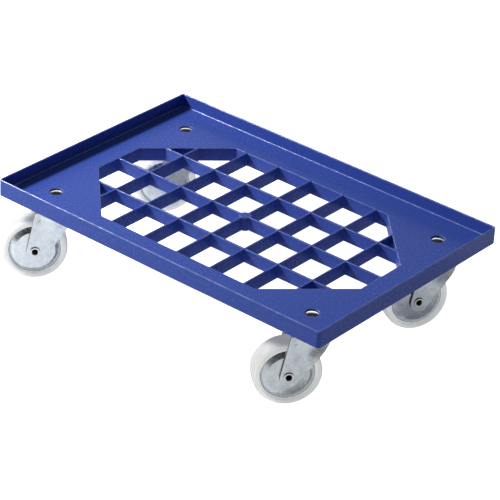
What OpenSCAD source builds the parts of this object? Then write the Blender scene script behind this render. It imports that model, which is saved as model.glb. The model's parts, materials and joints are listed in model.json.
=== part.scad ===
// Container dolly: a moulded tray deck with an open lattice floor on four swivel castors.
// Millimetres. +X runs along the long side, +Z is up, and the origin is the centre of the
// load face, the flat floor of the tray that a container stands on.

/* [Deck] */
// Length over the rim, along X
deck_l = 610; // [606:1:630]
// Width over the rim, along Y
deck_w = 410; // [406:1:430]
// Height of the rim above the load face
rim_h = 20.5; // [12:0.5:30]
// Depth of the outer skirt below the load face
skirt_d = 6; // [4:0.5:10]
// Thickness of the rim and skirt wall
rim_t = 3; // [2:0.5:4]
// Outer radius of the deck's upright corners
corner_r = 5; // [4:0.5:10]
// Thickness of the floor plate
floor_t = 3.5; // [2.5:0.5:4.5]
// Radius of the fillet between the floor and the rim
foot_r = 1.5; // [0.5:0.5:3]

/* [Lattice] */
// Width of one lattice cell along X
pitch_x = 63; // [58:0.5:64]
// Width of one lattice cell along Y
pitch_y = 75.5; // [70:0.5:76]
// How far each corner of the opening is cut back, at 45 degrees
corner_cut = 105; // [95:1:110]
// Thickness of the lattice ribs
rib_t = 3; // [2:0.5:4]
// Depth of the lattice ribs and of the wall round the opening
rib_d = 22; // [16:1:24]
// Radius of the round boss where the middle ribs cross
hub_r = 9; // [6:0.5:14]

/* [Castor seats] */
// Distance from the deck's centre to a castor's swivel axis, along X
castor_x = 245; // [240:1:248]
// Distance from the deck's centre to a castor's swivel axis, along Y
castor_y = 145; // [140:1:150]
// Depth of the castor seats below the load face
seat_d = 14.5; // [14:0.5:18]
// Diameter of the hole that the bolt head sits in
head_hole_d = 21; // [20.6:0.2:24]
// Depth of that hole
head_hole_h = 6; // [6:0.5:7]

/* [Castors] */
// Height of a castor from its seat to the ground
castor_h = 125; // [122:1:130]
// Distance from the swivel axis back to the axle
trail = 32; // [30:0.5:36]
// Wheel diameter
wheel_d = 100; // [96:1:100]
// Wheel width over the tread
wheel_w = 36; // [32:1:37]
// Direction in which the castor at -X -Y trails, in degrees from +X
yaw_front_left = 227; // [0:1:360]
// Direction in which the castor at +X -Y trails
yaw_front_right = 230; // [0:1:360]
// Direction in which the castor at -X +Y trails
yaw_rear_left = 228; // [0:1:360]
// Direction in which the castor at +X +Y trails
yaw_rear_right = 240; // [0:1:360]

/* [Fork] */
// Thickness of the pressed steel
sheet_t = 2.5; // [2:0.25:3]
// Gap between the two legs
fork_gap = 40; // [40:0.5:44]
// Radius of the swivel head and the fork crown
crown_r = 31.5; // [30:0.5:33]
// Radius of the rounded end of each leg
tip_r = 14.5; // [13:0.5:16]

/* [Axle and bearings] */
// Outer diameter of the hollow axle rivet
axle_d = 12; // [12:0.2:13]
// Bore of the axle rivet
axle_bore_d = 8.4; // [6:0.2:9]
// Diameter of the balls above the fork crown
upper_ball_d = 6; // [5.5:0.1:6.2]
// Diameter of the balls below the fork crown
lower_ball_d = 5; // [4.5:0.1:5]
// Running clearance of balls, rollers and races
run = 0.06; // [0.02:0.01:0.1]

/* [Hidden] */
$fn = 64;
eps = 0.01;

// Where each castor stands and which way it trails, front left, front right, rear left, rear right
CASTOR_POS = [[-castor_x, -castor_y], [castor_x, -castor_y], [-castor_x, castor_y], [castor_x, castor_y]];
CASTOR_YAW = [yaw_front_left, yaw_front_right, yaw_rear_left, yaw_rear_right];

// Deck
open_l = 8 * pitch_x;
open_w = 4 * pitch_y;
inner_l = deck_l - 2 * rim_t;
inner_w = deck_w - 2 * rim_t;
seat_r = 33;
seat_ring_t = 2.5;
seat_core_r = 16.5;
seat_webs = 8;
web_t = 2.5;
gusset_d = 18;

// Bolt: a cup head on a square neck
neck_w = 10;
neck_h = 6;
neck_gap = 0.1;
bolt_r = 5;
bolt_hole_r = 5.5;
cup_r = 10;
cup_h = 5;
cup_sphere_r = 26;
bolt_end = -43.5;

// Swivel bearing, as heights from the load face
seat_z = -seat_d;
head_t = 3;
head_z = seat_z - head_t;
head_skirt_z = head_z - 3.8;
crown_top = seat_z - 7.5;
crown_t = 3.5;
crown_bore_r = 9.2;
upper_ring_r = 23;
upper_ball_z = seat_z - 5.5;
upper_balls_n = 20;
lower_ring_r = 14;
lower_ball_z = crown_top - crown_t - 1.8;
lower_balls_n = 15;
race_top = lower_ball_z - 1;
race_bottom = seat_z - 17.5;
race_r = 18.5;
sleeve_r = 8.5;
sleeve_bore_r = 5.3;

// Nut, with a nylon collar
nut_af = 16;
nut_h = 7;
nut_collar_r = 7.2;
nut_collar_h = 3;

// Fork leg outline, in the plane of the wheel
axle_z = seat_z - castor_h + wheel_d / 2;
leg_in = fork_gap / 2;
leg_out = leg_in + sheet_t;
tip = [trail - 1.8, axle_z - 1];
leg_top = crown_top - 2;
leg_back = [crown_r, leg_top];
leg_front = [-23, crown_top - 13.5];
leg_curve = 8;
shoulder_z = crown_top - 28;
leg_hole_r = axle_d / 2 + 0.05;

// Thread guards: dished discs that fill the wheel's side recess, with a boss against the leg
guard_t = 1;
guard_r = 39.4;
guard_flat_r = 30.5;
guard_dish = 5.5;
guard_out = wheel_w / 2 + 0.5;
guard_bore_r = axle_d / 2 + 0.1;
guard_boss_r = 11;

// Wheel
tyre_in_r = 40.5;
shoulder_r = 8;
web_half = 4;
hub_half = guard_out - guard_t - 0.5;
hub_out_r = 14.5;
hub_bore_r = 10;
wheel_ribs = 8;
wheel_rib_half = 9;

// Roller bearing
roller_r = 1.95;
roller_ring_r = axle_d / 2 + roller_r + 0.05;
rollers_n = 8;
cage_l = 2 * hub_half - 3;
roller_l = cage_l - 5;
cage_in_r = axle_d / 2 + 0.3;
cage_out_r = hub_bore_r - 0.3;

// Axle rivet heads
rivet_head_r = 7.75;
rivet_head_h = 1.8;

BLUE = "#3d4ca6";
ZINC = "#b9bec3";
BRIGHT = "#d5d8da";
NYLON = "#e9e9e6";
STEEL = "#8d9196";

// ---- Outlines and small tools ----

function unit(v) = v / norm(v);
function turned(v, a) = [v[0] * cos(a) - v[1] * sin(a), v[0] * sin(a) + v[1] * cos(a)];
// The point where the line from p touches the circle (c, r), on the given side
function touch(p, c, r, side) = c + r * turned(unit(p - c), side * acos(r / norm(p - c)));

module rounded_rect(l, w, r) {
    square([l - 2 * r, w], center = true);
    square([l, w - 2 * r], center = true);
    for (sx = [-1, 1], sy = [-1, 1])
        translate([sx * (l / 2 - r), sy * (w / 2 - r)]) circle(r = r);
}

module slab(z0, z1) {
    translate([0, 0, z0]) linear_extrude(height = z1 - z0) children();
}

module octagon(grow) {
    x = open_l / 2 + grow;
    y = open_w / 2 + grow;
    c = corner_cut + grow * (2 - sqrt(2));
    polygon([
        [x, y - c], [x - c, y], [c - x, y], [-x, y - c],
        [-x, c - y], [c - x, -y], [x - c, -y], [x, c - y]
    ]);
}

// Puts a piece at castor i, square to the deck
module square_at(i) {
    translate([CASTOR_POS[i][0], CASTOR_POS[i][1], 0]) children();
}

// Puts a piece at castor i, turned to the way the castor trails
module place(i) {
    square_at(i) rotate([0, 0, CASTOR_YAW[i]]) children();
}

// Turns a profile drawn as (radius, distance along the axle) round the axle
module round_axle() {
    translate([trail, 0, axle_z]) rotate([-90, 0, 0]) rotate_extrude() children();
}

// Puts a copy on each side of the wheel
module both_sides() {
    children();
    mirror([0, 1, 0]) children();
}

// ---- Deck ----

module tray_shell() {
    difference() {
        slab(-skirt_d, rim_h) rounded_rect(deck_l, deck_w, corner_r);
        slab(0, rim_h + 1) rounded_rect(inner_l, inner_w, corner_r - rim_t + 1);
        slab(-skirt_d - 1, -floor_t) rounded_rect(inner_l, inner_w, corner_r - rim_t + 1);
        slab(-floor_t - 1, 1) octagon(0);
    }
}

// Quarter-round fillets along the foot of the rim
module foot_fillet(len) {
    translate([-len / 2, 0, 0]) rotate([90, 0, 90]) linear_extrude(height = len) difference() {
        translate([-foot_r, -eps]) square([foot_r + eps, foot_r + eps]);
        translate([-foot_r, foot_r]) circle(r = foot_r);
    }
}

module foot_fillets() {
    for (side = [0, 180]) rotate([0, 0, side]) {
        translate([0, inner_w / 2, 0]) foot_fillet(inner_l);
        translate([inner_l / 2, 0, 0]) rotate([0, 0, -90]) foot_fillet(inner_w);
    }
}

module lattice() {
    slab(-rib_d, 0) difference() {
        octagon(rib_t);
        octagon(0);
    }
    slab(-rib_d, 0) intersection() {
        octagon(rib_t / 2);
        union() {
            for (i = [-3:3]) translate([i * pitch_x - rib_t / 2, -open_w]) square([rib_t, 2 * open_w]);
            for (j = [-1:1]) translate([-open_l, j * pitch_y - rib_t / 2]) square([2 * open_l, rib_t]);
        }
    }
    translate([0, 0, -rib_d]) cylinder(h = rib_d, r = hub_r);
}

// Stiffening gussets under the margin, from the skirt to the wall of the opening
module gusset(from, to) {
    translate([0, web_t / 2, 0]) rotate([90, 0, 0]) linear_extrude(height = web_t)
        polygon([[from, eps - floor_t], [to, eps - floor_t], [to, -skirt_d], [from, -gusset_d]]);
}

module gussets() {
    for (side = [0, 180]) rotate([0, 0, side]) {
        for (i = [-2:2]) translate([i * pitch_x, 0, 0]) rotate([0, 0, 90])
            gusset(open_w / 2 + rib_t - eps, inner_w / 2 + eps);
        for (j = [-0.5:0.5:0.5]) translate([0, j * pitch_y, 0])
            gusset(open_l / 2 + rib_t - eps, inner_l / 2 + eps);
    }
}

// A ringed and webbed seat under the deck for one castor, tied to the skirt
module seat() {
    slab(seat_z, eps - floor_t) difference() {
        circle(r = seat_r);
        circle(r = seat_r - seat_ring_t);
    }
    slab(seat_z, eps - floor_t) circle(r = seat_core_r);
    slab(seat_z, eps - floor_t) for (k = [0:seat_webs - 1]) rotate([0, 0, k * 360 / seat_webs])
        translate([seat_core_r - 1, -web_t / 2]) square([seat_r - seat_core_r, web_t]);
}

module seat_ties() {
    reach_x = inner_l / 2 - castor_x + eps;
    reach_y = inner_w / 2 - castor_y + eps;
    slab(-skirt_d, eps - floor_t) {
        translate([seat_r - 1, -web_t / 2]) square([reach_x - seat_r + 1, web_t]);
        translate([-web_t / 2, seat_r - 1]) square([web_t, reach_y - seat_r + 1]);
    }
}

module bolt_hole() {
    slab(-head_hole_h, 1) circle(d = head_hole_d);
    slab(-head_hole_h - neck_h, 1) square(neck_w + 2 * neck_gap, center = true);
    slab(seat_z - 1, 0) circle(r = bolt_hole_r);
}

module deck() {
    color(BLUE) difference() {
        union() {
            tray_shell();
            foot_fillets();
            lattice();
            gussets();
            for (sx = [0, 1], sy = [0, 1]) mirror([sx, 0, 0]) mirror([0, sy, 0])
                translate([castor_x, castor_y, 0]) {
                    seat();
                    seat_ties();
                }
        }
        for (i = [0:3]) square_at(i) bolt_hole();
    }
}

// ---- Swivel bearing, fixed to the deck ----

module bolt() {
    color(BRIGHT) {
        translate([0, 0, -head_hole_h]) rotate_extrude() intersection() {
            translate([0, cup_h - cup_sphere_r]) circle(r = cup_sphere_r);
            square([cup_r, cup_h]);
        }
        slab(-head_hole_h - neck_h, -head_hole_h + eps) square(neck_w, center = true);
        translate([0, 0, bolt_end]) cylinder(h = -head_hole_h - bolt_end, r = bolt_r);
    }
}

module swivel_head() {
    color(ZINC) rotate_extrude() difference() {
        union() {
            translate([bolt_hole_r, head_z]) square([crown_r - bolt_hole_r, head_t]);
            translate([crown_r - sheet_t, head_skirt_z]) square([sheet_t, head_z - head_skirt_z + eps]);
            translate([upper_ring_r - 4, head_z - 1.5]) square([8, 1.5 + eps]);
        }
        translate([upper_ring_r, upper_ball_z]) circle(d = upper_ball_d + 2 * run);
    }
}

module ball_ring(n, ring_r, z, d) {
    for (k = [0:n - 1]) rotate([0, 0, k * 360 / n]) translate([ring_r, 0, z]) sphere(d = d);
}

module upper_balls() {
    color(STEEL) ball_ring(upper_balls_n, upper_ring_r, upper_ball_z, upper_ball_d);
}

module lower_balls() {
    color(STEEL) ball_ring(lower_balls_n, lower_ring_r, lower_ball_z, lower_ball_d);
}

// The cup under the lower balls, with the sleeve that the bolt clamps against the head
module lower_race() {
    color(ZINC) rotate_extrude() difference() {
        union() {
            translate([sleeve_bore_r, race_bottom]) {
                square([race_r - sleeve_bore_r, race_top - race_bottom]);
                square([sleeve_r - sleeve_bore_r, head_z - race_bottom]);
            }
        }
        translate([lower_ring_r, lower_ball_z]) circle(d = lower_ball_d + 2 * run);
    }
}

module nut() {
    color(BRIGHT) translate([0, 0, race_bottom - nut_h - nut_collar_h]) difference() {
        union() {
            translate([0, 0, nut_collar_h]) cylinder(h = nut_h, d = nut_af / cos(30), $fn = 6);
            cylinder(h = nut_collar_h + eps, r = nut_collar_r);
        }
        translate([0, 0, -1]) cylinder(h = nut_h + nut_collar_h + 2, r = bolt_r + 0.02);
    }
}

// ---- Fork, turning on the swivel bearing ----

// A shallow round bulge on the left of the line from a to b, which it leaves at the given angle
module belly(a, b, angle) {
    half = norm(b - a) / 2;
    r = half / sin(angle);
    translate((a + b) / 2) rotate([0, 0, atan2(b[1] - a[1], b[0] - a[0])]) intersection() {
        translate([0, -r * cos(angle)]) circle(r = r);
        translate([-half, -1]) square([2 * half, half]);
    }
}

module leg_outline() {
    back = touch(leg_back, tip, tip_r, -1);
    front = touch(leg_front, tip, tip_r, 1);
    translate(tip) circle(r = tip_r);
    polygon([leg_back, back, tip, front, leg_front, [leg_front[0], leg_top]]);
    belly(tip + turned(front - tip, leg_curve), leg_front, leg_curve);
}

module leg() {
    translate([0, leg_out, 0]) rotate([90, 0, 0]) linear_extrude(height = sheet_t) difference() {
        leg_outline();
        translate([trail, axle_z]) circle(r = leg_hole_r);
    }
}

// The pressed shoulder that runs from the round crown in to the flat leg
module shoulder_block(t) {
    hull() {
        translate([0, 0, crown_top - crown_t]) linear_extrude(height = crown_t) intersection() {
            circle(r = crown_r - t, $fn = 32);
            translate([-crown_r, leg_in - t]) square([2 * crown_r, crown_r]);
        }
        translate([t - 13, leg_in - t, shoulder_z]) cube([36 - 2 * t, sheet_t, 1]);
    }
}

module shoulder() {
    difference() {
        shoulder_block(0);
        translate([0, 0, -eps]) shoulder_block(sheet_t);
        translate([-50, 0, crown_top - crown_t]) cube([100, 50, crown_t + 1]);
    }
}

module fork() {
    color(ZINC) {
        rotate_extrude() difference() {
            translate([crown_bore_r, crown_top - crown_t]) square([crown_r - crown_bore_r, crown_t]);
            translate([upper_ring_r, upper_ball_z]) circle(d = upper_ball_d + 2 * run);
            translate([lower_ring_r, lower_ball_z]) circle(d = lower_ball_d + 2 * run);
        }
        both_sides() {
            leg();
            shoulder();
        }
    }
}

module axle() {
    color(BRIGHT) round_axle() difference() {
        union() {
            translate([0, -leg_out]) square([axle_d / 2, 2 * leg_out]);
            for (side = [-1, 1]) translate([0, side * (leg_out + rivet_head_h / 2) - rivet_head_h / 2])
                square([rivet_head_r, rivet_head_h]);
        }
        translate([-1, -fork_gap]) square([1 + axle_bore_d / 2, 2 * fork_gap]);
    }
}

module guards() {
    color(ZINC) round_axle() for (side = [-1, 1]) {
        flat = side * guard_out;
        edge = side * (guard_out - guard_dish);
        inward = -side * guard_t;
        polygon([
            [guard_bore_r, side * leg_in], [guard_boss_r, side * leg_in], [guard_boss_r, flat],
            [guard_flat_r, flat], [guard_r, edge],
            [guard_r, edge + inward], [guard_flat_r - 0.5, flat + inward], [guard_bore_r, flat + inward]
        ]);
    }
}

// ---- Wheel, turning on the axle ----

module tyre_profile() {
    half = wheel_w / 2;
    out = wheel_d / 2;
    difference() {
        translate([tyre_in_r, -half]) square([out - tyre_in_r, wheel_w]);
        for (side = [-1, 1]) translate([out - shoulder_r, side * (half - shoulder_r)]) difference() {
            translate([0, side > 0 ? 0 : -shoulder_r - 1]) square([shoulder_r + 1, shoulder_r + 1]);
            circle(r = shoulder_r);
        }
    }
}

module wheel() {
    color(NYLON) {
        round_axle() {
            tyre_profile();
            translate([hub_bore_r, -web_half]) square([tyre_in_r + 1 - hub_bore_r, 2 * web_half]);
            translate([hub_bore_r, -hub_half]) square([hub_out_r - hub_bore_r, 2 * hub_half]);
        }
        translate([trail, 0, axle_z]) rotate([-90, 0, 0]) for (k = [0:wheel_ribs - 1])
            rotate([0, 0, k * 360 / wheel_ribs]) slab(-wheel_rib_half, wheel_rib_half)
                translate([hub_out_r - 1, -web_t / 2]) square([tyre_in_r + 2 - hub_out_r, web_t]);
    }
}

module around_axle(n, ring_r) {
    translate([trail, 0, axle_z]) rotate([-90, 0, 0]) for (k = [0:n - 1])
        rotate([0, 0, k * 360 / n]) translate([ring_r, 0, 0]) children();
}

module cage() {
    color(STEEL) difference() {
        round_axle() translate([cage_in_r, -cage_l / 2]) square([cage_out_r - cage_in_r, cage_l]);
        around_axle(rollers_n, roller_ring_r)
            cylinder(h = roller_l + 0.4, r = roller_r + 0.1, center = true);
    }
}

module rollers() {
    color(BRIGHT) around_axle(rollers_n, roller_ring_r)
        cylinder(h = roller_l, r = roller_r, center = true);
}

deck();
square_at(0) bolt();  // front_left_bolt
square_at(1) bolt();  // front_right_bolt
square_at(2) bolt();  // rear_left_bolt
square_at(3) bolt();  // rear_right_bolt
place(0) swivel_head();  // front_left_swivel_head
place(1) swivel_head();  // front_right_swivel_head
place(2) swivel_head();  // rear_left_swivel_head
place(3) swivel_head();  // rear_right_swivel_head
place(0) upper_balls();  // front_left_upper_balls
place(1) upper_balls();  // front_right_upper_balls
place(2) upper_balls();  // rear_left_upper_balls
place(3) upper_balls();  // rear_right_upper_balls
place(0) lower_balls();  // front_left_lower_balls
place(1) lower_balls();  // front_right_lower_balls
place(2) lower_balls();  // rear_left_lower_balls
place(3) lower_balls();  // rear_right_lower_balls
place(0) lower_race();  // front_left_lower_race
place(1) lower_race();  // front_right_lower_race
place(2) lower_race();  // rear_left_lower_race
place(3) lower_race();  // rear_right_lower_race
place(0) nut();  // front_left_nut
place(1) nut();  // front_right_nut
place(2) nut();  // rear_left_nut
place(3) nut();  // rear_right_nut
place(0) fork();  // front_left_fork
place(1) fork();  // front_right_fork
place(2) fork();  // rear_left_fork
place(3) fork();  // rear_right_fork
place(0) axle();  // front_left_axle
place(1) axle();  // front_right_axle
place(2) axle();  // rear_left_axle
place(3) axle();  // rear_right_axle
place(0) guards();  // front_left_guards
place(1) guards();  // front_right_guards
place(2) guards();  // rear_left_guards
place(3) guards();  // rear_right_guards
place(0) wheel();  // front_left_wheel
place(1) wheel();  // front_right_wheel
place(2) wheel();  // rear_left_wheel
place(3) wheel();  // rear_right_wheel
place(0) cage();  // front_left_cage
place(1) cage();  // front_right_cage
place(2) cage();  // rear_left_cage
place(3) cage();  // rear_right_cage
place(0) rollers();  // front_left_rollers
place(1) rollers();  // front_right_rollers
place(2) rollers();  // rear_left_rollers
place(3) rollers();  // rear_right_rollers
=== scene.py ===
"""Looks for the container dolly: blue moulded tray deck on four zinc plated swivel castors.

Everything is in metres in the row frame: +X along the long side, +Z up, z = 0 on the load face.
Castor pieces are drawn in a castor's own frame (x towards the trailing side, z up from the load
face) and moved into place by a matrix read from the joints.
"""

import json
import math

import bmesh
import bpy
from mathutils import Matrix, Vector
from mathutils.geometry import delaunay_2d_cdt

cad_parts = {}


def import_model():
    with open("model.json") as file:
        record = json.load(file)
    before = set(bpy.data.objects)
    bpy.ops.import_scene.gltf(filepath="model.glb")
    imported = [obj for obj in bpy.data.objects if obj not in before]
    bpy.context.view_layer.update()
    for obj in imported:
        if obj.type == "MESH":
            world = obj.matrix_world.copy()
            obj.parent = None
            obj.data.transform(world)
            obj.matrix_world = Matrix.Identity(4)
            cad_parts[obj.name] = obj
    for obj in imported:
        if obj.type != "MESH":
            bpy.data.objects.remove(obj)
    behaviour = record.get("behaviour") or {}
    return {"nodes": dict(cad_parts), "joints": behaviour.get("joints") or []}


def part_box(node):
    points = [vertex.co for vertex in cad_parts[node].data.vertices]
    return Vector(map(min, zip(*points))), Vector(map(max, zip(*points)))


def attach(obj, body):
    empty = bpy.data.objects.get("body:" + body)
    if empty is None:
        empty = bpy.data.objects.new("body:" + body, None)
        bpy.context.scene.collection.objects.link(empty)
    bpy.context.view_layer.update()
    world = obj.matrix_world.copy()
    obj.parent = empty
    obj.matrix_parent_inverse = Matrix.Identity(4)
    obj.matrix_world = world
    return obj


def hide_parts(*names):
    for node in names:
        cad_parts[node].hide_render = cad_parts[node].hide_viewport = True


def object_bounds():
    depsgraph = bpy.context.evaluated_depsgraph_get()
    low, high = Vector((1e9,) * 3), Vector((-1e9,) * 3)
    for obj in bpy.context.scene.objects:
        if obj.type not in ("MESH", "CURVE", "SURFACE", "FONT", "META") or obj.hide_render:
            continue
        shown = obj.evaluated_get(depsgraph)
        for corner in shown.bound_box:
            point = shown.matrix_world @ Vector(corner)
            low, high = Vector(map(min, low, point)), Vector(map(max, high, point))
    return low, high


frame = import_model()
CAD_LOW, CAD_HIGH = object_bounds()

MM = 0.001
CORNERS = ("front_left", "front_right", "rear_left", "rear_right")
CHASSIS = "chassis"


# ---- Reading the frame ----

def joint(name):
    """The frame's entry for one joint."""
    return next(j for j in frame["joints"] if j["name"] == name)


class Castor:
    """Where one castor stands: its swivel axis, trail, axle height and the matrices for its pieces."""

    def __init__(self, corner):
        swivel = Vector(joint(corner + "_swivel")["pos_m"])
        axle = Vector(joint(corner + "_spin")["pos_m"])
        back = axle - swivel
        self.corner = corner
        self.trail = math.hypot(back.x, back.y)
        self.axle_z = axle.z
        self.fork_body = corner + "_fork_body"
        self.wheel_body = corner + "_wheel_body"
        turn = Matrix.Rotation(math.atan2(back.y, back.x), 4, "Z")
        self.place = Matrix.Translation((swivel.x, swivel.y, 0)) @ turn
        lying = Matrix.Rotation(math.radians(-90), 4, "X")
        self.axle_place = self.place @ Matrix.Translation((self.trail, 0, self.axle_z)) @ lying


def half_length_along_axle(node, castor):
    """Half the size of a CAD node along its castor's axle."""
    inverse = castor.axle_place.inverted()
    return max(abs((inverse @ v.co).z) for v in frame["nodes"][node].data.vertices)


def radius_about_axle(node, castor):
    """The largest radius of a CAD node about its castor's axle."""
    inverse = castor.axle_place.inverted()
    return max(math.hypot(*(inverse @ v.co).xy) for v in frame["nodes"][node].data.vertices)


# ---- Mesh tools ----

def smooth_step(t):
    """0 below 0, 1 above 1, and an even curve between."""
    t = max(0.0, min(1.0, t))
    return t * t * (3 - 2 * t)


def fillet(corners, steps=5):
    """The closed outline through corners (x, y, radius), with each corner rounded to its radius."""
    points = [Vector(corner[:2]) for corner in corners]
    count = len(points)
    halves, wanted = [], []
    for k, here in enumerate(points):
        before, after = points[k - 1] - here, points[(k + 1) % count] - here
        halves.append(before.angle(after) / 2)
        wanted.append(corners[k][2] / math.tan(halves[k]) if corners[k][2] > 0 else 0)
    outline = []
    for k, here in enumerate(points):
        if wanted[k] <= 0:
            outline.append(here)
            continue
        reach = wanted[k]
        for other in (k - 1, (k + 1) % count):
            length = 0.98 * (points[other] - here).length
            if wanted[k] + wanted[other] > length:
                reach = min(reach, length * wanted[k] / (wanted[k] + wanted[other]))
        before = (points[k - 1] - here).normalized()
        after = (points[(k + 1) % count] - here).normalized()
        radius = reach * math.tan(halves[k])
        centre = here + (before + after).normalized() * radius / math.sin(halves[k])
        start = here + before * reach - centre
        sweep = start.angle_signed(here + after * reach - centre)
        for s in range(steps + 1):
            turned = start.copy()
            turned.rotate(Matrix.Rotation(-sweep * s / steps, 2))
            outline.append(centre + turned)
    return outline


def lathe(bm, outline, segments, closed=True):
    """Turns an outline of (radius, height) round Z. One that isn't closed starts and ends on the axis."""
    rings = []
    for r, h in outline:
        if r < 1e-9:
            rings.append([bm.verts.new((0, 0, h))])
        else:
            angles = (2 * math.pi * k / segments for k in range(segments))
            rings.append([bm.verts.new((r * math.cos(a), r * math.sin(a), h)) for a in angles])
    pairs = list(zip(rings, rings[1:]))
    if closed:
        pairs.append((rings[-1], rings[0]))
    for low, high in pairs:
        for k in range(segments):
            n = (k + 1) % segments
            face = [low[k % len(low)], low[n % len(low)], high[n % len(high)], high[k % len(high)]]
            corners = list(dict.fromkeys(face))
            if len(corners) > 2:
                bm.faces.new(corners)


def finish_mesh(name, bm, matrix, material, body, stands_for, sharp_deg=35):
    """Makes the object, in place in the row frame, and rides it on its body."""
    bmesh.ops.remove_doubles(bm, verts=bm.verts, dist=1e-6)
    bmesh.ops.recalc_face_normals(bm, faces=bm.faces)
    bm.transform(matrix)
    mesh = bpy.data.meshes.new(name)
    bm.to_mesh(mesh)
    bm.free()
    mesh.shade_smooth()
    mesh.set_sharp_from_angle(angle=math.radians(sharp_deg))
    mesh.materials.append(material)
    piece = bpy.data.objects.new(name, mesh)
    bpy.context.scene.collection.objects.link(piece)
    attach(piece, body)
    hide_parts(*stands_for)
    return piece


# ---- Material tools ----

def set_range(node, low, high, out_low, out_high):
    """The numbers of a Map Range node."""
    numbers = {"From Min": low, "From Max": high, "To Min": out_low, "To Max": out_high}
    for key, number in numbers.items():
        node.inputs[key].default_value = number


class Surface:
    """A small helper that builds one node material."""

    def __init__(self, name):
        self.material = bpy.data.materials.new(name)
        self.material.use_nodes = True
        self.tree = self.material.node_tree
        self.shader = self.tree.nodes["Principled BSDF"]
        self.where = self.node("ShaderNodeTexCoord").outputs["Object"]

    def node(self, kind, **settings):
        made = self.tree.nodes.new(kind)
        for key, value in settings.items():
            setattr(made, key, value)
        return made

    def link(self, source, target):
        self.tree.links.new(source, target)

    def put(self, target, value):
        """Sets an input to a number or colour, or links it to a socket."""
        if isinstance(value, bpy.types.NodeSocket):
            self.link(value, target)
        else:
            target.default_value = value

    def scaled(self, scale):
        mapping = self.node("ShaderNodeMapping")
        self.link(self.where, mapping.inputs["Vector"])
        mapping.inputs["Scale"].default_value = scale
        return mapping.outputs["Vector"]

    def noise(self, scale, detail=3.0, rough=0.5, stretch=(1, 1, 1)):
        tex = self.node("ShaderNodeTexNoise")
        self.link(self.scaled(stretch), tex.inputs["Vector"])
        tex.inputs["Scale"].default_value = scale
        tex.inputs["Detail"].default_value = detail
        tex.inputs["Roughness"].default_value = rough
        return tex.outputs["Fac"]

    def cells(self, scale):
        """A flat random colour in each cell."""
        tex = self.node("ShaderNodeTexVoronoi")
        self.link(self.where, tex.inputs["Vector"])
        tex.inputs["Scale"].default_value = scale
        return tex.outputs["Color"]

    def span(self, value, low, high, out_low=0.0, out_high=1.0):
        """Maps low..high to out_low..out_high, held at the ends."""
        node = self.node("ShaderNodeMapRange")
        self.put(node.inputs["Value"], value)
        set_range(node, low, high, out_low, out_high)
        return node.outputs["Result"]

    def maths(self, operation, a, b):
        node = self.node("ShaderNodeMath", operation=operation)
        self.put(node.inputs[0], a)
        self.put(node.inputs[1], b)
        return node.outputs[0]

    def mix(self, share, a, b, blend="MIX"):
        node = self.node("ShaderNodeMix", data_type="RGBA", blend_type=blend)
        self.put(node.inputs[0], share)
        self.put(node.inputs[6], a)
        self.put(node.inputs[7], b)
        return node.outputs[2]

    def bump(self, layers, normal=None):
        """Bump from (height, distance in metres, strength) layers, one over the other."""
        for height, distance, strength in layers:
            node = self.node("ShaderNodeBump")
            node.inputs["Distance"].default_value = distance
            node.inputs["Strength"].default_value = strength
            self.link(height, node.inputs["Height"])
            if normal is not None:
                self.link(normal, node.inputs["Normal"])
            normal = node.outputs["Normal"]
        self.link(normal, self.shader.inputs["Normal"])

    def rounded(self, radius):
        """The normal, rounded within radius of a corner, and a mask of the edges.

        The mask is 0 on level and on upright faces and 1 on corners and sloping edges.
        """
        soft = self.node("ShaderNodeBevel", samples=6)
        soft.inputs["Radius"].default_value = radius
        dot = self.node("ShaderNodeVectorMath", operation="DOT_PRODUCT")
        self.link(soft.outputs["Normal"], dot.inputs[0])
        self.link(self.node("ShaderNodeNewGeometry").outputs["Normal"], dot.inputs[1])
        turned = self.span(dot.outputs["Value"], 0.985, 0.85)
        split = self.node("ShaderNodeSeparateXYZ")
        self.link(soft.outputs["Normal"], split.inputs[0])
        level = self.maths("ABSOLUTE", split.outputs["Z"], 0)
        sloped = self.maths("MULTIPLY", self.span(level, 0.15, 0.35), self.span(level, 0.97, 0.9))
        return soft.outputs["Normal"], self.maths("MAXIMUM", turned, sloped)

    def set(self, **inputs):
        for key, value in inputs.items():
            self.put(self.shader.inputs[key.replace("_", " ")], value)


def blue_plastic():
    """Moulded polypropylene with a fine grain, scuffs and shinier edges, paled partly by wear and partly by
    a painted highlight.
    """
    s = Surface("blue_plastic")
    base = s.mix(s.noise(7, 2), (0.042, 0.084, 0.39, 1), (0.05, 0.096, 0.43, 1))
    mottled = s.mix(s.span(s.noise(140, 4), 0.35, 0.65, 0, 0.5), base, (0.054, 0.104, 0.46, 1))
    scuff = s.span(s.noise(60, 5, 0.7, (0.25, 1.6, 1)), 0.66, 0.78, 0, 0.35)
    worn = s.mix(scuff, mottled, (0.1, 0.16, 0.55, 1))
    normal, corner_mask = s.rounded(1.1 * MM)
    # Edge mask: it raises the specular, and pales the base colour towards lavender, partly as wear and
    # partly as a painted highlight for the light the edges catch.
    edge = s.maths("MULTIPLY", corner_mask, s.span(s.noise(90, 4, 0.6), 0.4, 0.6, 0.4, 1))
    rubbed_and_highlit = s.mix(s.maths("MULTIPLY", edge, 0.5), worn, (0.5, 0.57, 0.92, 1))
    s.set(Base_Color=rubbed_and_highlit, Specular_IOR_Level=s.span(edge, 0, 1, 0.15, 1.0))
    rough = s.maths("ADD", s.span(s.noise(220, 4), 0.3, 0.7, 0.22, 0.3), scuff)
    s.set(Roughness=s.maths("SUBTRACT", rough, s.maths("MULTIPLY", edge, 0.06)))
    s.bump([(s.noise(18, 2), 0.0006, 0.35), (s.noise(1500, 3), 0.00012, 0.35)], normal)
    return s.material


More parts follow.
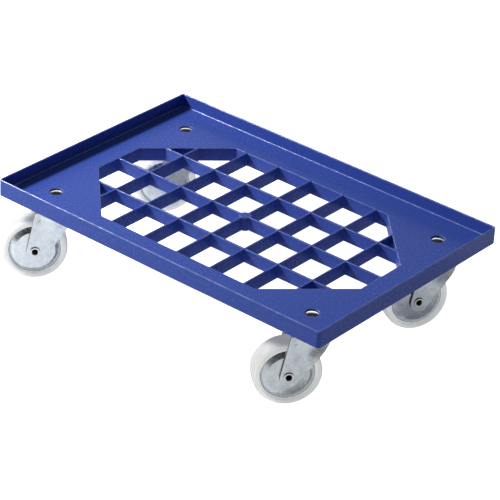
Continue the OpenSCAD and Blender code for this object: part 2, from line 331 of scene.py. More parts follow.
def zinc(name, tint, rough, mottle, metal=0.95):
    """Plated steel: spangled and mottled, dull in patches, darkened by painted shade in crevices, recesses
    and between parts, and specked with pits.
    """
    s = Surface(name)
    spangle = s.node("ShaderNodeRGBToBW")
    s.link(s.cells(420), spangle.inputs[0])
    patch = s.noise(90, 5, 0.6)
    light = tuple(min(1.0, c * (1 + mottle)) for c in tint) + (1,)
    dark = tuple(c * (1 - mottle) for c in tint) + (1,)
    base = s.mix(s.span(patch, 0.3, 0.7), dark, light)
    base = s.mix(s.maths("MULTIPLY", spangle.outputs[0], 0.25), base, light)
    dull = s.span(s.noise(35, 4, 0.6), 0.55, 0.75, 0, 0.5)
    base = s.mix(dull, base, tuple(c * 0.8 for c in tint) + (1,))
    # Painted shade: ambient occlusion darkens the base colour in crevices, recesses and between parts.
    painted_crevice_shade = s.node("ShaderNodeAmbientOcclusion", samples=8, only_local=False)
    painted_crevice_shade.inputs["Distance"].default_value = 5 * MM
    base = s.mix(s.span(painted_crevice_shade.outputs["AO"], 0.25, 0.7), tuple(c * 0.1 for c in tint) + (1,), base)
    specks = s.span(s.noise(620, 2, 0.5), 0.64, 0.74, 0, 0.5)
    base = s.mix(specks, base, tuple(c * 0.3 for c in tint) + (1,))
    s.set(Base_Color=base, Metallic=metal)
    s.set(Roughness=s.span(s.noise(260, 4), 0.3, 0.7, rough - 0.07, rough + 0.08))
    s.bump([(s.noise(45, 3), 0.0005, 0.35), (s.noise(700, 3), 0.00015, 0.5)])
    return s.material


def white_nylon():
    """Milky nylon with a painted glow, brighter on the sides than on the tread, and a tread greyed partly
    by worn grime and partly by painted shade.
    """
    s = Surface("white_nylon")
    base = s.mix(s.noise(25, 3), (0.82, 0.83, 0.82, 1), (0.87, 0.88, 0.865, 1))
    grime = s.span(s.noise(160, 6, 0.75), 0.6, 0.8, 0, 0.18)
    base = s.mix(grime, base, (0.5, 0.48, 0.44, 1))
    # The tread is greyed partly as worn grime and partly as painted shade where the key light falls
    # hardest.
    tread = s.node("ShaderNodeAttribute", attribute_name="tread").outputs["Fac"]
    base = s.mix(tread, base, s.mix(s.noise(110, 4), (0.4, 0.4, 0.39, 1), (0.46, 0.46, 0.45, 1)))
    # Painted light: the emission makes the whole tyre glow, more on its sides than on the tread.
    s.set(Base_Color=base, Specular_IOR_Level=0.35, Subsurface_Weight=0.3,
          Emission_Color=(1, 0.99, 0.97, 1), Emission_Strength=s.span(tread, 0, 1, 0.34, 0.24))
    s.shader.inputs["Subsurface Radius"].default_value = (1, 1, 0.95)
    s.shader.inputs["Subsurface Scale"].default_value = 4 * MM
    s.set(Roughness=s.span(s.noise(300, 4), 0.3, 0.7, 0.38, 0.5))
    s.bump([(s.noise(60, 3), 0.0004, 0.25), (s.noise(1200, 3), 0.0001, 0.3)])
    return s.material


def cage_plastic():
    """Near black moulding of the roller cages."""
    s = Surface("cage_plastic")
    s.set(Base_Color=s.mix(s.noise(200, 3), (0.02, 0.02, 0.022, 1), (0.035, 0.035, 0.037, 1)))
    s.set(Roughness=s.span(s.noise(400, 3), 0.3, 0.7, 0.4, 0.55))
    s.bump([(s.noise(1500, 3), 0.0001, 0.3)])
    return s.material


BLUE = blue_plastic()
ZINC = zinc("zinc_plate", (0.69, 0.75, 0.79), 0.23, 0.16)
BRIGHT = zinc("bright_zinc", (0.78, 0.8, 0.81), 0.2, 0.06)
POLISHED = zinc("polished_head", (0.9, 0.92, 0.88), 0.11, 0.03, 1)
STEEL = zinc("bearing_steel", (0.6, 0.61, 0.63), 0.15, 0.04)
NYLON = white_nylon()
# Near black finish for the sleeve in the axle's bore: painted shade for the depth of the hole.
PAINTED_BORE_SHADE = zinc("painted_bore_shade", (0.06, 0.06, 0.065), 0.5, 0.2)
# Near black finish for the fork sheet's rim faces: painted shade for the dark line between leg and guard.
CUT_EDGE_SHADE = zinc("cut_edge_shade", (0.07, 0.075, 0.08), 0.4, 0.3)
CAGE = cage_plastic()


# ---- Deck: one moulding, skinned between closed loops in plan ----

def offset_loop(loop, distance):
    """Moves a counter clockwise loop outward, with mitred corners."""
    moved = []
    for k, here in enumerate(loop):
        into = (here - loop[k - 1]).normalized()
        onward = (loop[(k + 1) % len(loop)] - here).normalized()
        a, b = Vector((into.y, -into.x)), Vector((onward.y, -onward.x))
        moved.append(here + (a + b) * distance / (1 + a.dot(b)))
    return moved


def circle_loop(x, y, radius, count):
    turns = (2 * math.pi * k / count for k in range(count))
    return [Vector((x + radius * math.cos(t), y + radius * math.sin(t))) for t in turns]


def clip_loop(loop, normal, limit):
    """The part of a loop that stays within limit along normal."""
    kept = []
    for a, b in zip(loop, loop[1:] + loop[:1]):
        room_a, room_b = limit - a.dot(normal), limit - b.dot(normal)
        if room_a >= 0:
            kept.append(a)
        if room_a * room_b < 0:
            kept.append(a.lerp(b, room_a / (room_a - room_b)))
    return kept


def ring(bm, loop, z):
    """The vertices of a loop at height z."""
    return [bm.verts.new((p.x, p.y, z)) for p in loop]


def skin(bm, rings):
    """Quads between rings of the same number of points."""
    for low, high in zip(rings, rings[1:]):
        for k in range(len(low)):
            n = (k + 1) % len(low)
            bm.faces.new((low[k], low[n], high[n], high[k]))


def inside(point, loop):
    """Whether a point lies in a loop, by counting the sides to its right."""
    hit = False
    for a, b in zip(loop, loop[1:] + loop[:1]):
        if (a.y > point.y) != (b.y > point.y):
            if point.x < a.x + (point.y - a.y) * (b.x - a.x) / (b.y - a.y):
                hit = not hit
    return hit


def flat(bm, rings):
    """Fills the flat area between an outer ring and the rings of its holes."""
    verts = [v for r in rings for v in r]
    loops = [[v.co.xy for v in r] for r in rings]
    edges, start = [], 0
    for r in rings:
        edges += [(start + k, start + (k + 1) % len(r)) for k in range(len(r))]
        start += len(r)
    _, _, faces, origin, _, _ = delaunay_2d_cdt([v.co.xy for v in verts], edges, [], 0, 1e-9)
    for face in faces:
        corners = [verts[origin[k][0]] for k in face]
        middle = sum((v.co.xy for v in corners), Vector((0, 0))) / 3
        if inside(middle, loops[0]) and not any(inside(middle, hole) for hole in loops[1:]):
            bm.faces.new(corners)


def rolled(bm, loop, radius, z, away, steps=3):
    """Rings that round an edge off: from the flat at height z down or up (away) to the wall."""
    rings = []
    for k in range(steps + 1):
        turn = math.radians(90) * k / steps
        grown = offset_loop(loop, radius * (1 - math.sin(turn)))
        rings.append(ring(bm, grown, z + away * radius * (1 - math.cos(turn))))
    return rings


RIM_H = CAD_HIGH.z
SKIRT_Z = -6 * MM
FLOOR_Z = -3.5 * MM
RIM_T = 3 * MM
RIB_T = 3 * MM
RIB_Z = -22 * MM
PITCH = Vector((63 * MM, 75.5 * MM))
HALF_COLUMNS, HALF_ROWS = 4, 2
CUT = 105 * MM
BOSS_R = 9 * MM
SEAT_Z = -14.5 * MM
SEAT_R, SEAT_RING_T, SEAT_CORE_R = 33 * MM, 2.5 * MM, 16.5 * MM
WEB_T = 2.5 * MM
SEAT_POCKETS = 8
GUSSET_Z = -18 * MM
SHAFT_HOLE_R = 7.3 * MM
HEAD_HOLE_R = 10.5 * MM
HEAD_HOLE_Z = -6 * MM


def rim_loop(inset):
    """The deck's rounded outline, moved in by inset."""
    _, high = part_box("deck")
    x, y, r = high.x - inset, high.y - inset, 5 * MM - inset * 2 / 3
    return fillet([(-x, -y, r), (x, -y, r), (x, y, r), (-x, y, r)], 8)


def opening_loop(grow):
    """The cut-cornered outline of the lattice."""
    x, y = HALF_COLUMNS * PITCH.x + grow, HALF_ROWS * PITCH.y + grow
    c = CUT + grow * (2 - math.sqrt(2))
    return [Vector(p) for p in ((x, y - c), (x - c, y), (c - x, y), (-x, y - c), (-x, c - y), (c - x, -y),
                                (x - c, -y), (x, c - y))]


def cell_loop(i, j):
    """One cell of the lattice, clipped by the cut corners and by the round boss in the middle."""
    half = RIB_T / 2
    x0 = i * PITCH.x + (half if i > -HALF_COLUMNS else 0)
    x1 = (i + 1) * PITCH.x - (half if i + 1 < HALF_COLUMNS else 0)
    y0 = j * PITCH.y + (half if j > -HALF_ROWS else 0)
    y1 = (j + 1) * PITCH.y - (half if j + 1 < HALF_ROWS else 0)
    loop = [Vector(p) for p in ((x0, y0), (x1, y0), (x1, y1), (x0, y1))]
    limit = HALF_COLUMNS * PITCH.x + HALF_ROWS * PITCH.y - CUT
    for sx in (-1, 1):
        for sy in (-1, 1):
            loop = clip_loop(loop, Vector((sx, sy)), limit)
    corners = []
    for p in loop:
        if p.length > BOSS_R:
            corners.append((p.x, p.y, 1.2 * MM))
            continue
        first = math.atan2(half, math.sqrt(BOSS_R ** 2 - half ** 2))
        quarter = math.floor(math.atan2(p.y, p.x) / math.radians(90)) * math.radians(90)
        steps = 10
        for k in range(steps + 1):
            turn = quarter + math.radians(90) - first - (math.radians(90) - 2 * first) * k / steps
            corners.append((BOSS_R * math.cos(turn), BOSS_R * math.sin(turn), 0))
    return fillet(corners, 4)


def pocket_loop(x, y, k):
    """One of the hollows in a castor seat."""
    outline = []
    sector = 2 * math.pi / SEAT_POCKETS
    steps = 6
    for r, order in ((SEAT_R - SEAT_RING_T, range(steps + 1)), (SEAT_CORE_R, range(steps, -1, -1))):
        start = math.asin(WEB_T / 2 / r)
        for s in order:
            turn = sector * k + start + (sector - 2 * start) * s / steps
            outline.append(Vector((x + r * math.cos(turn), y + r * math.sin(turn))))
    return outline


def strut(bm, outline, x, y, turn_deg):
    """A web of the side profile outline (distance, height), with softened edges."""
    shell = bmesh.new()
    faces = []
    for side in (-0.5, 0.5):
        faces.append(shell.faces.new([shell.verts.new((d, side * WEB_T, z)) for d, z in outline]))
    skin(shell, [list(face.verts) for face in faces])
    bmesh.ops.recalc_face_normals(shell, faces=shell.faces)
    bmesh.ops.bevel(shell, geom=shell.edges[:], offset=0.3 * MM, segments=2, affect="EDGES", profile=0.5)
    shell.transform(Matrix.Translation((x, y, 0)) @ Matrix.Rotation(math.radians(turn_deg), 4, "Z"))
    mesh = bpy.data.meshes.new("strut")
    shell.to_mesh(mesh)
    shell.free()
    bm.from_mesh(mesh)
    bpy.data.meshes.remove(mesh)


def castor_seat(bm, x, y):
    """One castor seat with its ties to the rim.

    It returns the ring of its hole in the top of the floor, and the ring where it meets the underside.
    """
    shaft = circle_loop(x, y, SHAFT_HOLE_R, 48)
    hole = circle_loop(x, y, HEAD_HOLE_R, 48)
    bore = rolled(bm, hole, 0.6 * MM, 0, -1)
    bore += [ring(bm, hole, HEAD_HOLE_Z), ring(bm, shaft, HEAD_HOLE_Z), ring(bm, shaft, SEAT_Z)]
    skin(bm, bore)
    outside = circle_loop(x, y, SEAT_R, 64)
    skirt = [ring(bm, outside, FLOOR_Z), ring(bm, outside, SEAT_Z + 0.4 * MM),
             ring(bm, offset_loop(outside, -0.4 * MM), SEAT_Z)]
    skin(bm, skirt)
    pockets = []
    for k in range(SEAT_POCKETS):
        loop = pocket_loop(x, y, k)
        wall = rolled(bm, loop, 0.4 * MM, SEAT_Z, 1, 2) + [ring(bm, loop, FLOOR_Z)]
        skin(bm, wall)
        flat(bm, [wall[-1]])
        pockets.append(wall[0])
    flat(bm, [skirt[-1], ring(bm, shaft, SEAT_Z)] + pockets)
    near, far, sunk = SEAT_R - 1 * MM, 57.5 * MM, FLOOR_Z + 0.5 * MM
    tie = [(near, sunk), (near, SKIRT_Z), (far, SKIRT_Z), (far, sunk)]
    for turn_deg in (0 if x > 0 else 180, 90 if y > 0 else -90):
        strut(bm, tie, x, y, turn_deg)
    return bore[0], skirt[0]


def gussets(bm):
    """Tapering webs from the lattice's outer wall to the rim."""
    sunk = 0.5 * MM
    at_ends = (0, HALF_COLUMNS * PITCH.x, CAD_HIGH.x, PITCH.y, 2)
    at_sides = (90, HALF_ROWS * PITCH.y, CAD_HIGH.y, PITCH.x, 5)
    for turn_deg, lattice, rim, step, count in (at_ends, at_sides):
        near, far = lattice + RIB_T - sunk, rim - RIM_T + sunk
        side = [(near, FLOOR_Z + sunk), (near, GUSSET_Z), (far, SKIRT_Z), (far, FLOOR_Z + sunk)]
        for k in range(count):
            shift = (k - (count - 1) / 2) * step
            for turn in (turn_deg, turn_deg + 180):
                x, y = (0, shift) if turn_deg == 0 else (shift, 0)
                strut(bm, side, x, y, turn)


def deck():
    """The whole moulding: rim, floor, lattice, castor seats and gussets."""
    bm = bmesh.new()
    profile = fillet([
        (RIM_T, FLOOR_Z, 0), (RIM_T, SKIRT_Z, 0.6 * MM), (0, SKIRT_Z, 0.6 * MM), (0, RIM_H, 1.4 * MM),
        (RIM_T, RIM_H, 1.2 * MM), (RIM_T, 0, 1.5 * MM), (RIM_T + 3.2 * MM, 0, 0),
    ], 4)
    rim = [ring(bm, rim_loop(inset), z) for inset, z in profile]
    skin(bm, rim)
    top_holes, under_holes, lattice_holes = [], [], []
    for i in range(-HALF_COLUMNS, HALF_COLUMNS):
        for j in range(-HALF_ROWS, HALF_ROWS):
            loop = cell_loop(i, j)
            wall = rolled(bm, loop, 0.7 * MM, 0, -1) + rolled(bm, loop, 0.5 * MM, RIB_Z, 1)[::-1]
            skin(bm, wall)
            top_holes.append(wall[0])
            lattice_holes.append(wall[-1])
    outer = opening_loop(RIB_T)
    band = [ring(bm, outer, FLOOR_Z), ring(bm, outer, RIB_Z + 0.5 * MM),
            ring(bm, offset_loop(outer, -0.15 * MM), RIB_Z + 0.15 * MM),
            ring(bm, offset_loop(outer, -0.5 * MM), RIB_Z)]
    skin(bm, band)
    under_holes.append(band[0])
    flat(bm, [band[-1]] + lattice_holes)
    for corner in CORNERS:
        x, y, _ = joint(corner + "_swivel")["pos_m"]
        hole, foot = castor_seat(bm, x, y)
        top_holes.append(hole)
        under_holes.append(foot)
    gussets(bm)
    flat(bm, [rim[0]] + under_holes)
    flat(bm, [rim[-1]] + top_holes)
    piece = finish_mesh("deck_moulding", bm, Matrix(), BLUE, CHASSIS, ["deck"], 40)
    weighted = piece.modifiers.new("normals", "WEIGHTED_NORMAL")
    weighted.keep_sharp = True


deck()


# ---- CAD nodes that keep their shape ----

def repaint(node, material):
    """Gives a CAD node its material."""
    mesh = frame["nodes"][node].data
    mesh.materials.clear()
    mesh.materials.append(material)


def soften(node, material, width):
    """Rounds a CAD node's edges with modifiers and gives it its material."""
    repaint(node, material)
    piece = frame["nodes"][node]
    piece.data.shade_smooth()
    weld = piece.modifiers.new("weld", "WELD")
    weld.merge_threshold = 1e-6
    bevel = piece.modifiers.new("bevel", "BEVEL")
    bevel.width = width
    bevel.segments = 2
    bevel.limit_method = "ANGLE"
    bevel.angle_limit = math.radians(32)
    bevel.miter_outer = "MITER_ARC"
    weighted = piece.modifiers.new("normals", "WEIGHTED_NORMAL")
    weighted.weight = 60


SOFTENED = {"swivel_head": ZINC, "lower_race": ZINC, "nut": BRIGHT}
REPAINTED = {"upper_balls": STEEL, "lower_balls": STEEL, "rollers": STEEL, "cage": CAGE}
for corner in CORNERS:
    for part, material in SOFTENED.items():
        soften(f"{corner}_{part}", material, 0.3 * MM)
    for part, material in REPAINTED.items():
        repaint(f"{corner}_{part}", material)


# ---- Fork: one pressed sheet, flared from two flat legs into a round crown ----

SHEET = 2.5 * MM
BEND = 3.5 * MM
FLAP = 1.5 * MM  # how far the sheet runs on past the bend, over the crown
BALLS_CLEAR_R = 25.6 * MM  # the flap stays outside this radius, clear of the upper balls
CROWN_BORE_R = 9.2 * MM
CROWN_T = 3.4 * MM
RIVET_HEAD_H = 1.8 * MM
AXLE_HOLE_R = 6.05 * MM
HOLE_CLEAR = 7.5 * MM  # faces of the leg nearer the axle than this make way for its hole
BEND_ROWS, LEG_ROWS, TIP_ROWS = 6, 40, 12
LEG_COLUMNS = 28


class ForkShape:
    """The outline of a fork leg in its own plane, and how far out the sheet stands at each point."""

    def __init__(self, castor):
        self.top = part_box(castor.corner + "_fork")[1].z
        self.crown_r = 31.5 * MM
        self.leg_out = half_length_along_axle(castor.corner + "_axle", castor) - RIVET_HEAD_H
        self.tip = Vector((castor.trail - 1.8 * MM, castor.axle_z - 1 * MM))
        self.tip_r = 14.5 * MM
        self.back_top = Vector((self.crown_r, self.top))
        self.front_top = Vector((-23 * MM, self.top - 13.5 * MM))
        self.back_touch = self.touch(self.back_top, -1)
        self.front_touch = self.touch(self.front_top, 1)
        self.flare_low = self.top - 44 * MM

    def touch(self, point, side):
        """Where the line from point meets the round tip."""
        away = point - self.tip
        turn = side * math.acos(self.tip_r / away.length)
        unit = away.normalized()
        c, s = math.cos(turn), math.sin(turn)
        return self.tip + self.tip_r * Vector((unit.x * c - unit.y * s, unit.x * s + unit.y * c))

    def round_tip(self, z, side):
        return self.tip.x + side * math.sqrt(max(0.0, self.tip_r ** 2 - (z - self.tip.y) ** 2))

    def back(self, z):
        if z < self.back_touch.y:
            return self.round_tip(z, 1)
        t = (self.back_top.y - z) / (self.back_top.y - self.back_touch.y)
        return self.back_top.x + t * (self.back_touch.x - self.back_top.x)

    def front(self, z):
        if z < self.front_touch.y:
            return self.round_tip(z, -1)
        t = max(0.0, (self.front_top.y - z) / (self.front_top.y - self.front_touch.y))
        bulge = 2.5 * MM * 4 * t * (1 - t)
        return self.front_top.x + t * (self.front_touch.x - self.front_top.x) - bulge

    def crown_edge(self, x):
        """Half width of the sheet where it leaves the crown."""
        chord = math.sqrt(max(0.0, self.crown_r ** 2 - x ** 2))
        soft = 2.5 * MM
        gap = chord - self.leg_out
        return self.leg_out + 0.5 * (gap + math.sqrt(gap * gap + soft * soft)) - 0.5 * soft * 0.3

    def out(self, x, z):
        """How far the sheet's outer face stands from the wheel's mid plane."""
        share = smooth_step((z - self.flare_low) / (self.top - BEND - self.flare_low))
        flared = self.leg_out + (self.crown_edge(x) - self.leg_out) * share
        across = (x - 25 * MM) / (3 * MM)
        down = (z - (self.top - 12 * MM)) / (4 * MM)
        crease = 1.8 * MM * math.exp(-across * across - down * down)
        hollow = (x - 15 * MM) / (5.5 * MM)
        valley = 2.4 * MM * math.exp(-hollow * hollow) * smooth_step((z - self.top + 48 * MM) / (30 * MM))
        return flared - crease - valley


def axle_hole(bm, castor, y):
    """Opens a round hole for the axle in the flat of a leg that lies at y."""
    axis = Vector((castor.trail, y, castor.axle_z))
    near = [f for f in bm.faces if min((v.co - axis).length for v in f.verts) < HOLE_CLEAR]
    outer = {e for e in bm.edges if e.is_boundary}
    bmesh.ops.delete(bm, geom=near, context="FACES")
    border = [e for e in bm.edges if e.is_boundary and e not in outer]
    edge_vert = {}
    for vert in dict.fromkeys(v for e in border for v in e.verts):
        edge_vert[vert] = bm.verts.new(axis + (vert.co - axis).normalized() * AXLE_HOLE_R)
    for a, b in (e.verts for e in border):
        bm.faces.new((a, b, edge_vert[b], edge_vert[a]))


def raceway(castor, balls, face_z):
    """A groove for a ring of balls in a face at height face_z: outline corners from its inner edge out."""
    low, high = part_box(f"{castor.corner}_{balls}")
    ball_r = (high.z - low.z) / 2
    ball_z = (high.z + low.z) / 2
    ring_r = (high.x - low.x) / 2 - ball_r
    groove_r = ball_r + 0.15 * MM
    rise = face_z - ball_z
    half = math.sqrt(groove_r ** 2 - rise ** 2)
    first, last = math.atan2(rise, -half), math.atan2(rise, half)
    steps = 8
    turns = [first + (last - first) * k / steps for k in range(steps + 1)]
    return [(ring_r + groove_r * math.cos(a), ball_z + groove_r * math.sin(a), 0) for a in turns]


def leg_rows(shape):
    """The rows of points of a leg, from the crown down to the tip.

    Each is a height, the height at which the flare is read and how far the bend tucks it in.
    """
    straight = shape.top - BEND
    rows = []
    for k in range(BEND_ROWS + 1):
        turn = math.radians(90) * k / BEND_ROWS
        rows.append((shape.top - BEND * (1 - math.cos(turn)), straight, BEND * (1 - math.sin(turn))))
    touch = shape.front_touch.y
    for k in range(1, LEG_ROWS + 1):
        z = straight + (touch - straight) * k / LEG_ROWS
        rows.append((z, z, 0))
    first, last = math.asin((touch - shape.tip.y) / shape.tip_r), math.radians(-90)
    for k in range(1, TIP_ROWS + 1):
        z = shape.tip.y + shape.tip_r * math.sin(first + (last - first) * k / TIP_ROWS)
        rows.append((z, z, 0))
    return rows


def leg_sheet(bm, shape, side):
    """One leg: a short flap over the crown, the bend, the flare and the round tip."""
    rows = []
    for z, level, tuck in leg_rows(shape):
        front, back = shape.front(z), shape.back(z)
        places = [front + (back - front) * u / LEG_COLUMNS for u in range(LEG_COLUMNS + 1)]
        outs = [shape.out(x, level) - tuck for x in places]
        if not rows:
            flap = []
            for x, bent in zip(places, outs):
                clear = math.sqrt(max(0, BALLS_CLEAR_R ** 2 - x ** 2))
                flap.append(bm.verts.new((x, side * max(bent - FLAP, min(bent - 0.3 * MM, clear)), z)))
            rows.append(flap)
        rows.append([bm.verts.new((x, side * out, z)) for x, out in zip(places, outs)])
    for upper, lower in zip(rows, rows[1:]):
        for u in range(LEG_COLUMNS):
            face = [upper[u], upper[u + 1], lower[u + 1], lower[u]]
            bm.faces.new(face if side > 0 else face[::-1])


def crown(castor, shape):
    """The ring between the two rings of balls, with a raceway for each."""
    low = shape.top - CROWN_T
    high = shape.top - 0.2 * MM
    edge = shape.crown_r - 0.5 * MM
    outline = fillet(
        [(CROWN_BORE_R, high, 0.4 * MM), (CROWN_BORE_R, low, 0.4 * MM)]
        + raceway(castor, "lower_balls", low)
        + [(edge, low, 1.2 * MM), (edge, high, 1.2 * MM)]
        + raceway(castor, "upper_balls", high)[::-1], 3)
    bm = bmesh.new()
    lathe(bm, outline, 72)
    finish_mesh(castor.corner + "_fork_crown", bm, castor.place, ZINC, castor.fork_body,
                [], 50)


def fork(castor):
    """The pressed sheet of both legs, and the crown between them."""
    shape = ForkShape(castor)
    bm = bmesh.new()
    for side in (-1, 1):
        leg_sheet(bm, shape, side)
    bmesh.ops.remove_doubles(bm, verts=bm.verts, dist=1e-6)
    for side in (-1, 1):
        axle_hole(bm, castor, side * shape.leg_out)
    sheet = finish_mesh(castor.corner + "_fork_shell", bm, castor.place, ZINC, castor.fork_body,
                        [castor.corner + "_fork"], 60)
    # The solidified sheet's rim faces take the near black finish as painted shade for the dark line along
    # the leg's edge.
    sheet.data.materials.append(CUT_EDGE_SHADE)
    solid = sheet.modifiers.new("sheet", "SOLIDIFY")
    solid.thickness = SHEET
    solid.offset = -1
    solid.use_even_offset = True
    solid.material_offset_rim = 1
    bevel = sheet.modifiers.new("edge", "BEVEL")
    bevel.width = 0.5 * MM
    bevel.segments = 2
    bevel.limit_method = "ANGLE"
    bevel.angle_limit = math.radians(50)
    crown(castor, shape)


# ---- Pieces turned about the axle ----

def guards(castor):
    """Two dished discs: a boss against the leg, a flat, then a cone down into the wheel's recess."""
    boss = half_length_along_axle(castor.corner + "_guards", castor)
    face = boss - 1.5 * MM
    rim = radius_about_axle(castor.corner + "_guards", castor)
    thick = 1 * MM
    dish = 5.5 * MM
    flat_r = 30.5 * MM
    boss_r = 11 * MM
    bore_r = 6.1 * MM
    outline = fillet([
        (bore_r, boss, 0), (boss_r, boss, 0.5 * MM), (boss_r + 0.4 * MM, face, 0.8 * MM),
        (flat_r, face, 1.5 * MM), (rim - 0.6 * MM, face - dish + 0.3 * MM, 0.6 * MM),
        (rim, face - dish + 0.2 * MM, 0.2 * MM), (rim, face - dish - 0.7 * MM, 0.2 * MM),
        (rim - 1.6 * MM, face - dish - 0.6 * MM, 0.8 * MM), (flat_r - 0.4 * MM, face - thick, 1.4 * MM),
        (bore_r, face - thick, 0),
    ], 5)
    bm = bmesh.new()
    for side in (1, -1):
        lathe(bm, [(r, side * h) for r, h in outline], 96)
    finish_mesh(castor.corner + "_thread_guards", bm, castor.axle_place, ZINC, castor.fork_body,
                [castor.corner + "_guards"])


def mirrored(corners):
    """Adds the mirror image below height 0 to an outline given from bore to tread."""
    return corners + [(r, -h, f) for r, h, f in reversed(corners)]


def wheel(castor):
    """Tyre, recess, web and hub in one turned outline with a fine parting line, and ribs across the web."""
    radius = radius_about_axle(castor.corner + "_wheel", castor)
    hub_half = 17 * MM
    half = 18 * MM
    recess_r = 40.5 * MM
    hub_r = 14.5 * MM
    bore_r = 10 * MM
    web = 4 * MM
    seam = 0.12 * MM
    tread_r, tread_fade = 46 * MM, 3.8 * MM
    rib_t, rib_h, rib_sunk = 2.5 * MM, 18 * MM, 1 * MM
    outline = fillet(mirrored([
        (bore_r, hub_half, 0.8 * MM), (hub_r - 0.4 * MM, hub_half, 0.8 * MM), (hub_r, web, 1.5 * MM),
        (recess_r - 1 * MM, web, 2.5 * MM), (recess_r, half - 0.2 * MM, 0.8 * MM),
        (radius - seam - 0.5 * MM, half, 8 * MM),
        (radius - seam, 0.7 * MM, 0.0), (radius, 0.25 * MM, 0.0),
    ]), 10)
    bm = bmesh.new()
    # The tread mask: the nylon greys the tread with it, partly as painted shade, and glows less there.
    tread = bm.verts.layers.float.new("tread")
    lathe(bm, outline, 128)
    for vert in bm.verts:
        vert[tread] = smooth_step((math.hypot(vert.co.x, vert.co.y) - tread_r) / tread_fade)
    length = recess_r - hub_r + 2 * rib_sunk
    outward = Matrix.Translation((hub_r - rib_sunk + length / 2, 0, 0))
    rib = outward @ Matrix.Diagonal((length, rib_t, rib_h, 1))
    ribs = 8
    for k in range(ribs):
        turn = Matrix.Rotation(2 * math.pi * k / ribs, 4, "Z")
        bmesh.ops.create_cube(bm, size=1, matrix=turn @ rib)
    finish_mesh(castor.corner + "_wheel_tyre", bm, castor.axle_place, NYLON, castor.wheel_body,
                [castor.corner + "_wheel"])


def axle(castor):
    """The hollow rivet with a rolled head on each leg, and a near black sleeve in its bore as painted shade
    for the depth of the hole.
    """
    end = half_length_along_axle(castor.corner + "_axle", castor)
    head_r = radius_about_axle(castor.corner + "_axle", castor)
    bore_r = 4.2 * MM
    tube_r = 6 * MM
    under = end - RIVET_HEAD_H
    outline = fillet(mirrored([
        (bore_r, end, 1.5 * MM), (head_r, end, 0.85 * MM), (head_r, under, 0.3 * MM), (tube_r, under, 0),
    ]), 6)
    bm = bmesh.new()
    lathe(bm, outline, 48)
    finish_mesh(castor.corner + "_axle_rivet", bm, castor.axle_place, BRIGHT, castor.fork_body,
                [castor.corner + "_axle"])
    # Painted shade: a thin near black sleeve lines the bore to darken the hole's depth.
    deep = end - 2.2 * MM
    near, far = bore_r - 0.05 * MM, bore_r + 0.3 * MM
    bm = bmesh.new()
    lathe(bm, [(near, -deep), (near, deep), (far, deep), (far, -deep)], 48)
    finish_mesh(castor.corner + "_axle_bore_shade", bm, castor.axle_place, PAINTED_BORE_SHADE, castor.fork_body,
                [])


def bolt(castor):
    """The cup head bolt: a flat dome in the deck's hole, and a shank with a threaded end."""
    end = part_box(castor.corner + "_bolt")[0].z
    head_r, dome_r, shank_r = 10 * MM, 34 * MM, 5 * MM
    top, thread_top = -0.3 * MM, -30 * MM
    outline = [(0, top)]
    steps = 10
    for k in range(1, steps + 1):
        r = (head_r - 1.2 * MM) * k / steps
        outline.append((r, top - dome_r + math.sqrt(dome_r ** 2 - r ** 2)))
    drop = outline[-1][1]
    outline += [(head_r - 0.7 * MM, drop - 0.25 * MM), (head_r - 0.25 * MM, drop - 0.65 * MM),
                (head_r, drop - 1.3 * MM), (head_r, HEAD_HOLE_Z),
                (shank_r, HEAD_HOLE_Z), (shank_r, thread_top)]
    z, pitch, depth = thread_top, 1.5 * MM, 0.45 * MM
    while z - pitch > end + 1 * MM:
        outline += [(shank_r, z - 0.2 * MM), (shank_r - depth, z - 0.75 * MM), (shank_r, z - 1.3 * MM)]
        z -= pitch
    outline += [(shank_r, z), (shank_r - 0.8 * MM, end), (0, end)]
    bm = bmesh.new()
    lathe(bm, outline, 64, closed=False)
    place = Matrix.Translation(castor.place.translation)
    finish_mesh(castor.corner + "_cup_bolt", bm, place, POLISHED, CHASSIS,
                [castor.corner + "_bolt"], 30)


for corner in CORNERS:
    spot = Castor(corner)
    fork(spot)
    guards(spot)
    wheel(spot)
    axle(spot)
    bolt(spot)


# ---- Stage, light and camera ----

def floor():
    """A matt white floor that shows the camera only a hint of shadow, and is clear from below.

    It glows away from the trolley, as a lit sweep does, and less under it and in front of it.
    """
    s = Surface("studio_floor")
    s.set(Base_Color=s.mix(s.noise(3, 3), (0.84, 0.84, 0.84, 1), (0.86, 0.86, 0.86, 1)))
    s.set(Roughness=s.span(s.noise(8, 3), 0.3, 0.7, 0.75, 0.85))
    to_camera = s.node("ShaderNodeLightPath").outputs["Is Camera Ray"]
    place = s.node("ShaderNodeSeparateXYZ")
    s.link(s.where, place.inputs[0])
    outside = []
    dim_area = (("X", -0.305, 0.34), ("Y", -0.205, 0.25))
    for axis, low, high in dim_area:
        from_middle = s.maths("ABSOLUTE", s.maths("SUBTRACT", place.outputs[axis], (low + high) / 2), 0)
        outside.append(s.maths("SUBTRACT", from_middle, (high - low) / 2))
    clear_of_area = s.span(s.maths("MAXIMUM", *outside), -0.02, 0.08, 0.05, 0.3)
    glow = s.maths("MULTIPLY", clear_of_area, s.span(place.outputs["Y"], -0.25, -0.1, 0.5, 1.1))
    seen = s.maths("MAXIMUM", glow, s.maths("MULTIPLY", to_camera, 0.95))
    s.set(Emission_Color=(1, 1, 1, 1), Emission_Strength=seen)
    under = s.node("ShaderNodeMixShader")
    s.link(s.node("ShaderNodeNewGeometry").outputs["Backfacing"], under.inputs[0])
    s.link(s.shader.outputs[0], under.inputs[1])
    s.link(s.node("ShaderNodeBsdfTransparent").outputs[0], under.inputs[2])
    s.link(under.outputs[0], s.tree.nodes["Material Output"].inputs["Surface"])
    mesh = bpy.data.meshes.new("studio_floor")
    reach = 6.0
    z = CAD_LOW.z
    mesh.from_pydata([(-reach, -reach, z), (reach, -reach, z), (reach, reach, z), (-reach, reach, z)], [],
                     [(0, 1, 2, 3)])
    mesh.materials.append(s.material)
    made = bpy.data.objects.new("studio_floor", mesh)
    bpy.context.scene.collection.objects.link(made)


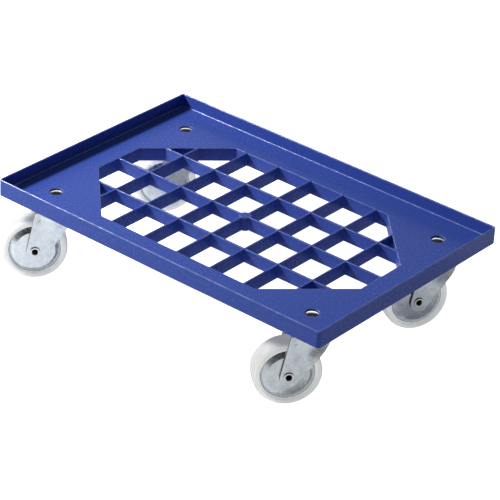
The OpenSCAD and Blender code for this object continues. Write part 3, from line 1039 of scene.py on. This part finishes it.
def world():
    """A dim room with a bright band low down behind the trolley and a soft patch overhead."""
    made = bpy.data.worlds.new("studio")
    made.use_nodes = True
    tree = made.node_tree
    way = tree.nodes.new("ShaderNodeTexCoord").outputs["Generated"]

    def ramp(direction, low, high, out_low, out_high):
        dot = tree.nodes.new("ShaderNodeVectorMath")
        dot.operation = "DOT_PRODUCT"
        tree.links.new(way, dot.inputs[0])
        dot.inputs[1].default_value = direction
        fade = tree.nodes.new("ShaderNodeMapRange")
        fade.interpolation_type = "SMOOTHSTEP"
        tree.links.new(dot.outputs["Value"], fade.inputs["Value"])
        set_range(fade, low, high, out_low, out_high)
        return fade.outputs["Result"]

    def joined(operation, a, b):
        node = tree.nodes.new("ShaderNodeMath")
        node.operation = operation
        tree.links.new(a, node.inputs[0])
        tree.links.new(b, node.inputs[1])
        return node.outputs[0]

    behind = ramp((-0.627, 0.779, 0), 0.12, 0.6, 0, 1.5)
    low_down = ramp((0, 0, 1), 0.3, 0.5, 1, 0)
    dim = ramp((0, 0, 1), 0.0, 0.5, 0.18, 0.025)
    overhead = ramp((0, 0, 1), 0.86, 0.97, 0, 0.35)
    strength = joined("ADD", joined("MULTIPLY", behind, low_down), joined("ADD", dim, overhead))
    tree.links.new(strength, tree.nodes["Background"].inputs["Strength"])
    tree.nodes["Background"].inputs["Color"].default_value = (1, 1, 1, 1)
    bpy.context.scene.world = made


def lamp(name, towards, distance, width, height, power):
    """A soft box that shines at the object from a direction."""
    data = bpy.data.lights.new(name, "AREA")
    data.shape = "RECTANGLE"
    data.size = width
    data.size_y = height
    data.energy = power
    made = bpy.data.objects.new(name, data)
    direction = Vector(towards).normalized()
    made.location = direction * distance
    made.rotation_euler = direction.to_track_quat("Z", "Y").to_euler()
    bpy.context.scene.collection.objects.link(made)


def camera():
    """The photo's view, as fitted to the rim corners, the lattice crossings and the castors."""
    azimuth, elevation, roll = (math.radians(a) for a in (38.83, 29.81, 3.10))
    distance, shift_right, shift_down = 3.6846, 5.96 * MM, 69.03 * MM
    back = Vector((math.sin(azimuth) * math.cos(elevation), -math.cos(azimuth) * math.cos(elevation),
                   math.sin(elevation)))
    level = Vector((math.cos(azimuth), math.sin(azimuth), 0))
    up = back.cross(level)
    right = level * math.cos(roll) + up * math.sin(roll)
    up = back.cross(right)
    aim = right * shift_right - up * shift_down + Vector((0, 0, CAD_HIGH.z))
    data = bpy.data.cameras.new("camera")
    data.sensor_width = 36
    data.lens = 181.2
    data.clip_start = 0.1
    data.clip_end = 50
    made = bpy.data.objects.new("camera", data)
    turn = Matrix((right, up, back)).transposed().to_4x4()
    made.matrix_world = Matrix.Translation(aim + back * distance) @ turn
    bpy.context.scene.collection.objects.link(made)
    bpy.context.scene.camera = made


floor()
world()
lamp("key", (-1.2, -0.6, 1.0), 2.0, 0.35, 0.35, 45)
camera()
view = bpy.context.scene.view_settings
view.view_transform = "Standard"
view.look = "None"
